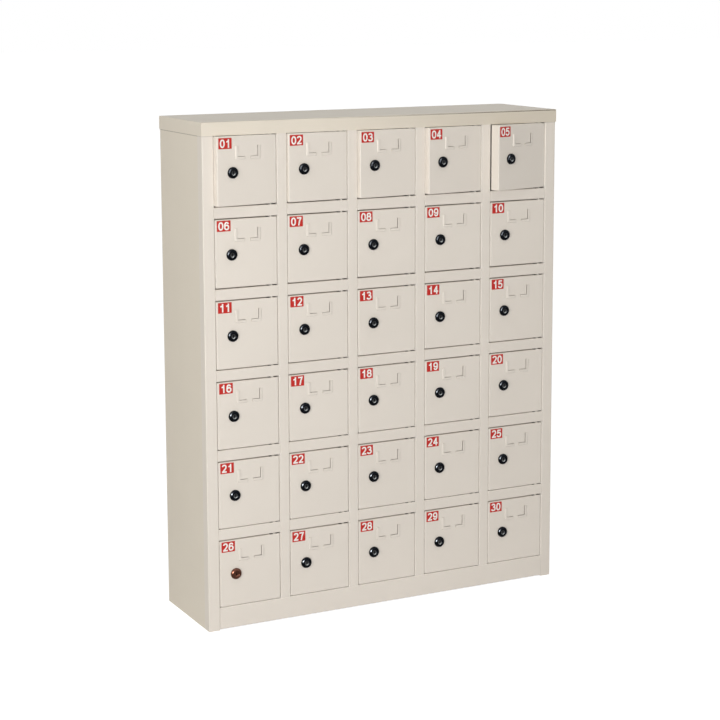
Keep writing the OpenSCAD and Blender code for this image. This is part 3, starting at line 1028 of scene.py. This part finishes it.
def head_profile(s):
    """Half the section of the fixed barrel: bore, dish, domed head and shank."""
    bore = s.plug_radius + s.plug_play
    wide, tall = s.head_radius - s.dish_radius, s.rim_height - s.head_height
    dome = arc((s.dish_radius, -s.rim_height), wide, 0, 90, 8, tall)
    dish = arc((bore, -s.head_height), s.dish_radius - bore, 0, 90, 5, s.dish_depth)[1:]
    foot = 0.15 * MM
    shank = [
        (s.barrel_radius, 0), (s.barrel_radius, s.barrel_length - 0.5 * MM),
        (s.barrel_radius - 0.5 * MM, s.barrel_length), (bore, s.barrel_length),
    ]
    return shank[::-1] + [(s.head_radius - foot, 0), (s.head_radius, -foot)] + dome + dish


def mark_painted_highlights(mesh, depth, *spots):
    """Marks painted highlights in front of a depth. A spot has a strength, an angle, a radius and two widths.
    """
    worn = mesh.attributes.new("worn", "FLOAT", "POINT")
    for vert in mesh.vertices:
        x, y, z = vert.co
        around, out = math.degrees(math.atan2(z, x)) % 360, math.hypot(x, z)
        if y <= depth:
            worn.data[vert.index].value = max(
                most * math.exp(-((around - angle) / wide) ** 2 - ((out - radius) / deep) ** 2)
                for most, angle, radius, wide, deep in spots
            )


def thread_tree():
    """A ridge that winds along the barrel."""
    tree, given = geometry_tree("Barrel thread", Radius="Float", Height="Float", Pitch="Float")
    turns = step(tree, "DIVIDE", given["Height"], given["Pitch"])
    spiral = node(
        tree, "GeometryNodeCurveSpiral", Resolution=28, Rotations=turns, Start_Radius=given["Radius"],
        End_Radius=given["Radius"], Height=given["Height"],
    )
    thick = step(tree, "MULTIPLY", given["Pitch"], 0.42)
    section = node(tree, "GeometryNodeCurvePrimitiveCircle", Resolution=4, Radius=thick)
    ridge = node(
        tree, "GeometryNodeCurveToMesh", Curve=spiral.outputs["Curve"],
        Profile_Curve=section.outputs["Curve"], Fill_Caps=True,
    )
    return finish_tree(tree, given, ridge.outputs[0])


def nut_mesh(s, sheet):
    """The nut behind the door."""
    across = s.nut_flats / math.cos(math.radians(30)) / 2
    outline = arc((0, 0), across, 0, 300, 5)
    solid = prism(outline, sheet, sheet + s.nut_height)
    hole = rod(s.barrel_radius + s.plug_play, (0, -sheet, 0), (0, 3 * s.nut_height, 0), 48)
    return shaded(bevelled(combined(solid, [hole]), 0.35 * MM))


class LOCKER_OT_lock_barrels(bpy.types.Operator):
    """Makes the fixed barrel, thread and nut of each lock"""

    bl_idname = "locker.lock_barrels"
    bl_label = "Lock barrels"

    def execute(self, context):
        s = lock_settings()
        sheet = door_settings().sheet
        head = numbered(shaded(revolved(head_profile(s), 64), 50), 0)
        # A painted highlight on the upper left of the dome
        dome = s.dish_radius + 0.62 * (s.head_radius - s.dish_radius)
        mark_painted_highlights(head, -0.9 * s.rim_height, (1.0, 149, dome, 15, 0.6 * MM))
        start = sheet + 0.6 * MM
        values = {
            "Radius": s.barrel_radius - 0.3 * MM,
            "Height": s.barrel_length - start - 0.8 * MM,
            "Pitch": s.thread_pitch,
            "Material": metal("zinc_plate"),
        }
        thread = grown(thread_tree(), values)
        # The ridge winds round +Z, and the barrel runs along +Y
        turn = Euler((-math.pi / 2, 0, 0)).to_matrix().to_4x4()
        thread.transform(Matrix.Translation((0, start, 0)) @ turn)
        mesh = joined(head, numbered(shaded(thread, 60), 0), numbered(nut_mesh(s, sheet), 1))
        for door in DOORS:
            finishes = [metal("lock_" + plating(door)), metal("zinc_plate")]
            piece(door + "_lock_barrel", mesh, door, finishes, lock_axis())
        return {"FINISHED"}


def plug_mesh(s):
    """The plug with its keyhole. The walls of the keyhole have a material of their own."""
    front = s.dish_depth - s.head_height
    chamfer = 0.3 * MM
    face_rings = [(0.25 * k * (s.plug_radius - chamfer), front) for k in range(5)]
    profile = face_rings + [(s.plug_radius, front + chamfer), (s.plug_radius, s.cam_front), (0, s.cam_front)]
    solid = numbered(revolved(profile, 48), 0)
    half, tall = s.key_width / 2, s.key_height / 2
    before, end = front - 1 * MM, front + s.key_depth
    slot = block((-half, before, -tall), (half, end, tall))
    wide = rod(s.key_width * 0.72, (0, before, -tall * 0.35), (0, end, -tall * 0.35), 20)
    mesh = combined(solid, [slot, wide])
    for face in mesh.polygons:
        x, y, z = face.center
        within = abs(x) < s.key_width and abs(z) < tall + 0.05 * MM
        face.material_index = int(within and front + 0.02 * MM < y < end + 0.1 * MM)
    # Painted light over the lower part of the plug's face and a painted highlight at its lower right
    edge = (0.36, 270, s.plug_radius, 60, 2.2 * MM)
    inner = (1.0, 290, s.plug_radius - 0.4 * MM, 42, 1.7 * MM)
    mark_painted_highlights(mesh, front + 2 * chamfer, edge, inner)
    return shaded(mesh)


def cam_mesh(s):
    """The cam, hanging down."""
    half = s.cam_width / 2
    outline = arc((0, 0), half, 0, 180, 12) + arc((0, half - s.cam_reach), half, 180, 360, 12)
    solid = prism(outline, s.cam_front, s.cam_front + s.cam_thickness)
    hole = rod(s.screw_radius, (0, 0, 0), (0, 2 * s.cam_front, 0), 24)
    return shaded(bevelled(combined(solid, [hole]), 0.25 * MM))


def screw_mesh(s):
    """The cam's screw, with a cross recess."""
    seat = s.cam_front + s.cam_thickness
    top = seat + s.screw_height
    edge = 0.8 * MM
    crown = arc((s.screw_head - edge, top - edge), edge, 0, 90, 6)
    profile = [(0, s.cam_front), (s.screw_radius, s.cam_front), (s.screw_radius, seat), (s.screw_head, seat)]
    solid = revolved(profile + crown + [(0, top)], 32)
    arm, wide, deep = 0.6 * s.screw_head, 0.45 * MM, 1.4 * MM
    arms = ((arm, wide), (wide, arm))
    cuts = [block((-x, top - deep, -z), (x, top + deep, z)) for x, z in arms]
    return shaded(combined(solid, cuts))


class LOCKER_OT_lock_plugs(bpy.types.Operator):
    """Makes the turning plug, cam and screw of each lock"""

    bl_idname = "locker.lock_plugs"
    bl_label = "Lock plugs and cams"

    def execute(self, context):
        s = lock_settings()
        cam, screw = numbered(cam_mesh(s), 2), numbered(screw_mesh(s), 2)
        mesh = joined(plug_mesh(s), cam, screw)
        for door in DOORS:
            turning = door.replace("door_", "lock_")
            body = turning if turning in TURNING_LOCKS else door
            finishes = [metal("plug_" + plating(door)), metal("keyhole_shadow"), metal("zinc_plate")]
            thing = piece(turning + "_plug_and_cam", mesh, door, finishes, lock_axis(), body)
            if body == turning:
                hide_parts(turning.replace("lock_", "lock_plug_"))
        return {"FINISHED"}


# Carcass


class LOCKER_OT_carcass(bpy.types.Operator):
    """Gives the sheet steel of the carcass its coat"""

    bl_idname = "locker.carcass"
    bl_label = "Carcass"

    def execute(self, context):
        for name in CARCASS_NODES:
            thing = frame["nodes"][name]
            thing.data.materials.clear()
            thing.data.materials.append(coated(CARCASS_COATS.get(name, "cream_coat")))
        return {"FINISHED"}


# Stage


def white_world(strength):
    """Plain light from all round, which the camera and mirrors see as white."""
    world = bpy.data.worlds.new("studio")
    world.use_nodes = True
    tree = world.node_tree
    tree.nodes.clear()
    rays = node(tree, "ShaderNodeLightPath").outputs
    mirror = step(tree, "MAXIMUM", rays["Is Glossy Ray"], rays["Is Transmission Ray"])
    seen = step(tree, "MAXIMUM", rays["Is Camera Ray"], mirror)
    plain = node(tree, "ShaderNodeBackground", Color=(1.0, 0.97, 0.88, 1), Strength=strength).outputs[0]
    white = node(tree, "ShaderNodeBackground", Color=(1, 1, 1, 1), Strength=1.0).outputs[0]
    node(tree, "ShaderNodeOutputWorld", node(tree, "ShaderNodeMixShader", seen, plain, white).outputs[0])
    return world


def pale_floor():
    """A near white floor that keeps a faint shadow."""
    material = bpy.data.materials.new("pale_floor")
    material.use_nodes = True
    tree = material.node_tree
    seen = node(tree, "ShaderNodeLightPath").outputs["Is Camera Ray"]
    fill(tree.nodes["Principled BSDF"], {
        "Base Color": (0.74, 0.75, 0.79, 1), "Roughness": 0.9, "Specular IOR Level": 0.1,
        "Emission Color": (1, 1, 1, 1), "Emission Strength": step(tree, "MULTIPLY", seen, 0.77),
    })
    return material


def soft_light(name, aim, power):
    """A square softbox aimed at a point."""
    place, size, tint = LIGHTS[name]
    lamp = bpy.data.lights.new(name + "_light", "AREA")
    lamp.shape = "SQUARE"
    lamp.size = size
    lamp.energy = power
    lamp.color = tint
    thing = shown(lamp.name, lamp)
    thing.location = place
    thing.rotation_euler = (Vector(aim) - Vector(place)).to_track_quat("-Z", "Y").to_euler()


class LOCKER_OT_stage(bpy.types.Operator):
    """Sets the floor, the lights and the camera"""

    bl_idname = "locker.stage"
    bl_label = "Stage"

    def execute(self, context):
        scene = context.scene
        s = scene.locker_stage
        scene.view_settings.view_transform = "Standard"
        scene.world = white_world(s.sky)
        floor_mesh = bpy.data.meshes.new("floor")
        corners = [(x * FLOOR_REACH, y * FLOOR_REACH, 0) for x, y in ((-1, -1), (1, -1), (1, 1), (-1, 1))]
        floor_mesh.from_pydata(corners, [], [(0, 1, 2, 3)])
        floor_mesh.materials.append(pale_floor())
        floor = shown("floor", floor_mesh)
        for name in LIGHTS:
            soft_light(name, (cad_low + cad_high) / 2, getattr(s, name + "_power"))
        camera = bpy.data.cameras.new("camera")
        camera.lens = s.lens
        camera.sensor_width = 36.0
        camera.shift_y = s.shift
        scene.camera = shown("camera", camera)
        level = math.pi / 2
        turn = Matrix.Rotation(-s.camera_yaw, 4, "Z") @ Matrix.Rotation(level + s.camera_pitch, 4, "X")
        place = Matrix.Translation(s.camera_place)
        scene.camera.matrix_world = place @ turn @ Matrix.Rotation(s.camera_roll, 4, "Z")
        return {"FINISHED"}


class LOCKER_PT_pieces(bpy.types.Panel):
    """Lists the pieces of the locker"""

    bl_idname = "LOCKER_PT_pieces"
    bl_label = "Phone storage locker"
    bl_space_type = "VIEW_3D"
    bl_region_type = "UI"
    bl_category = "Locker"

    def draw(self, context):
        for operator in PIECES:
            self.layout.operator(operator.bl_idname)
        for label in SETTINGS:
            group = getattr(context.scene, label)
            box = self.layout.box()
            for key in group.__annotations__:
                box.prop(group, key)


PIECES = (
    LOCKER_OT_carcass,
    LOCKER_OT_door_panels,
    LOCKER_OT_hinge_pins,
    LOCKER_OT_number_plates,
    LOCKER_OT_lock_barrels,
    LOCKER_OT_lock_plugs,
    LOCKER_OT_stage,
)
SETTINGS = {
    "locker_door": LockerDoor,
    "locker_plate": LockerPlate,
    "locker_lock": LockerLock,
    "locker_finish": LockerFinish,
    "locker_stage": LockerStage,
}


def register():
    for kind in (*SETTINGS.values(), *PIECES, LOCKER_PT_pieces):
        bpy.utils.register_class(kind)
    for label, kind in SETTINGS.items():
        setattr(bpy.types.Scene, label, bpy.props.PointerProperty(type=kind))


def unregister():
    for label in SETTINGS:
        delattr(bpy.types.Scene, label)
    for kind in (LOCKER_PT_pieces, *reversed(PIECES), *reversed(SETTINGS.values())):
        bpy.utils.unregister_class(kind)


def main():
    """Builds the whole locker."""
    register()
    bpy.ops.locker.carcass()
    bpy.ops.locker.door_panels()
    bpy.ops.locker.hinge_pins()
    bpy.ops.locker.number_plates()
    bpy.ops.locker.lock_barrels()
    bpy.ops.locker.lock_plugs()
    bpy.ops.locker.stage()


if __name__ == "__main__":
    main()
